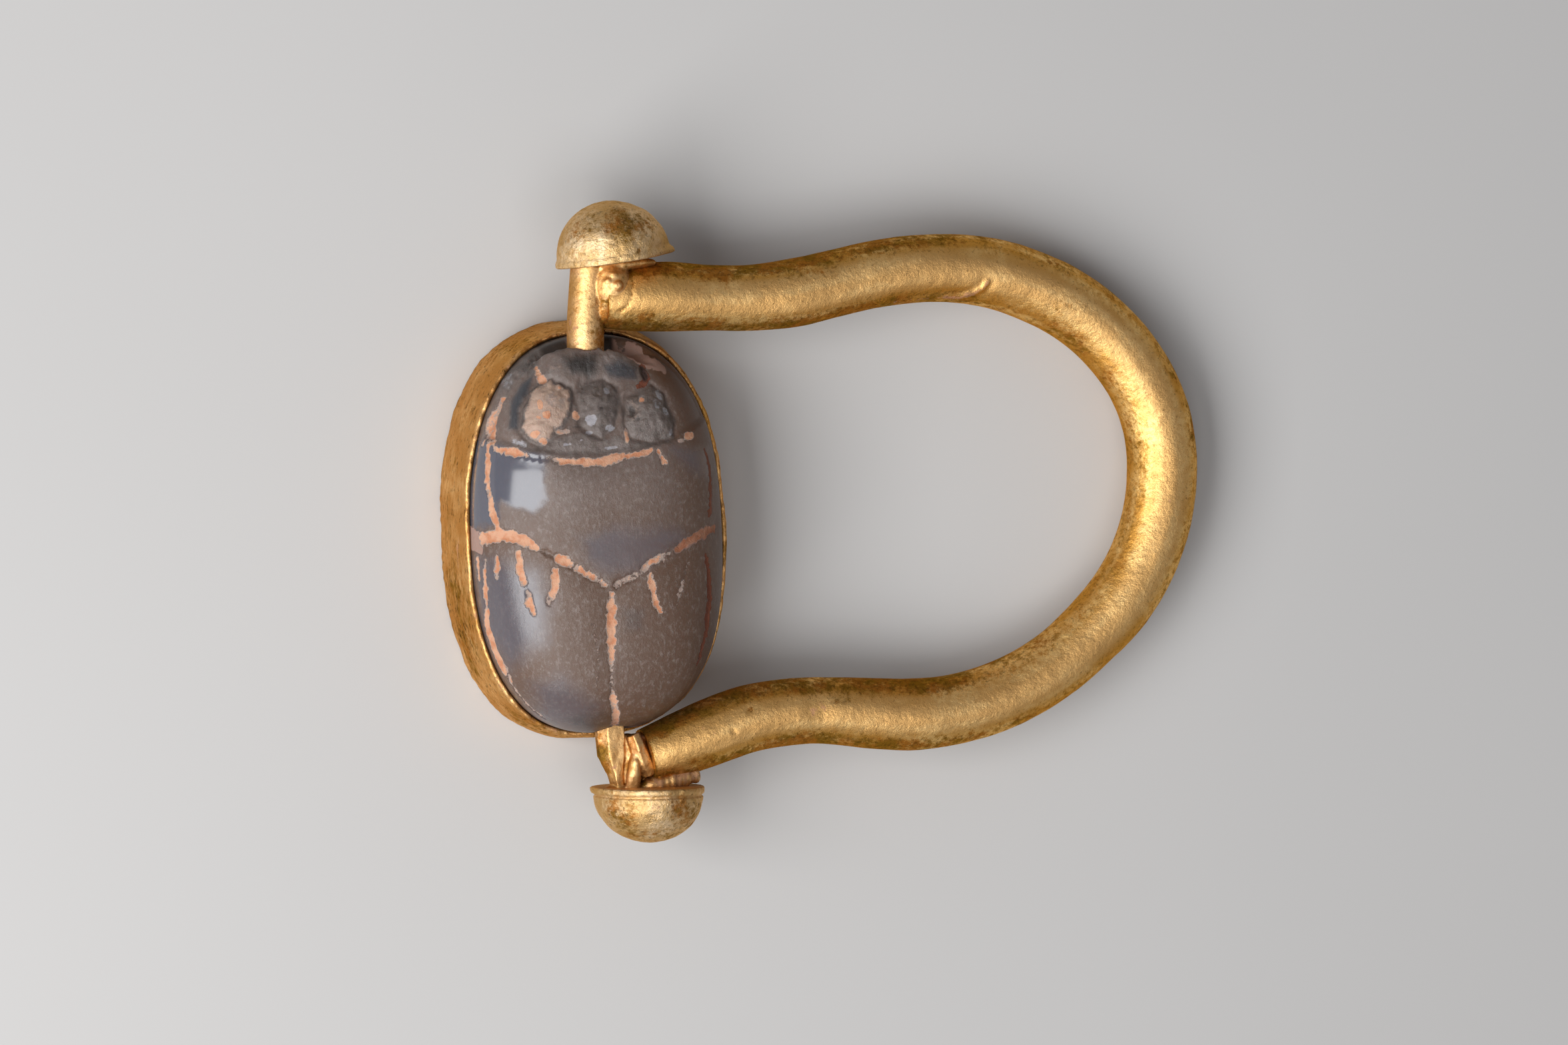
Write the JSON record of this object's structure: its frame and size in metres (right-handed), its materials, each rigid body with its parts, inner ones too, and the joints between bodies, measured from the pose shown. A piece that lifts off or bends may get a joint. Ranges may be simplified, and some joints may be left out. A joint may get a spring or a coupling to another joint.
{
  "type": "gold swivel ring with a stone scarab",
  "caption": "Swivel finger ring: a carved stone scarab in a gold bezel turns between the capped ends of a thick round gold hoop, to show its back or its flat seal face.",
  "frame": {"origin": "centre of the scarab's flat seal face, which rests on the ground", "axes": "+Z out of the beetle's back, +Y towards its head along the swivel axis, +X towards the hoop's far end"},
  "size_m": [0.032, 0.0261, 0.007],
  "materials": {
    "chalcedony": "worn polish, grey to brown, with salmon earth in the engraving",
    "bezel_gold": "thin worn gold sheet with dark streaks",
    "hoop_gold": "worn satin gold with olive and brown patina",
    "pin_gold": "worn satin gold",
    "cap_gold": "pale worn gold with olive patina"
  },
  "bodies": {
    "ring": {"hoop": "hoop_gold", "upper_pin": "pin_gold", "lower_pin": "pin_gold", "upper_cap": "cap_gold", "lower_cap": "cap_gold"},
    "seal": {"scarab": "chalcedony", "bezel": "bezel_gold"}
  },
  "joints": [
    {"name": "swivel", "type": "hinge", "parent": "ring", "child": "seal", "pos_m": [0, 0, 0.0041], "axis": [0, 1, 0], "range_deg": [0, 180]}
  ]
}
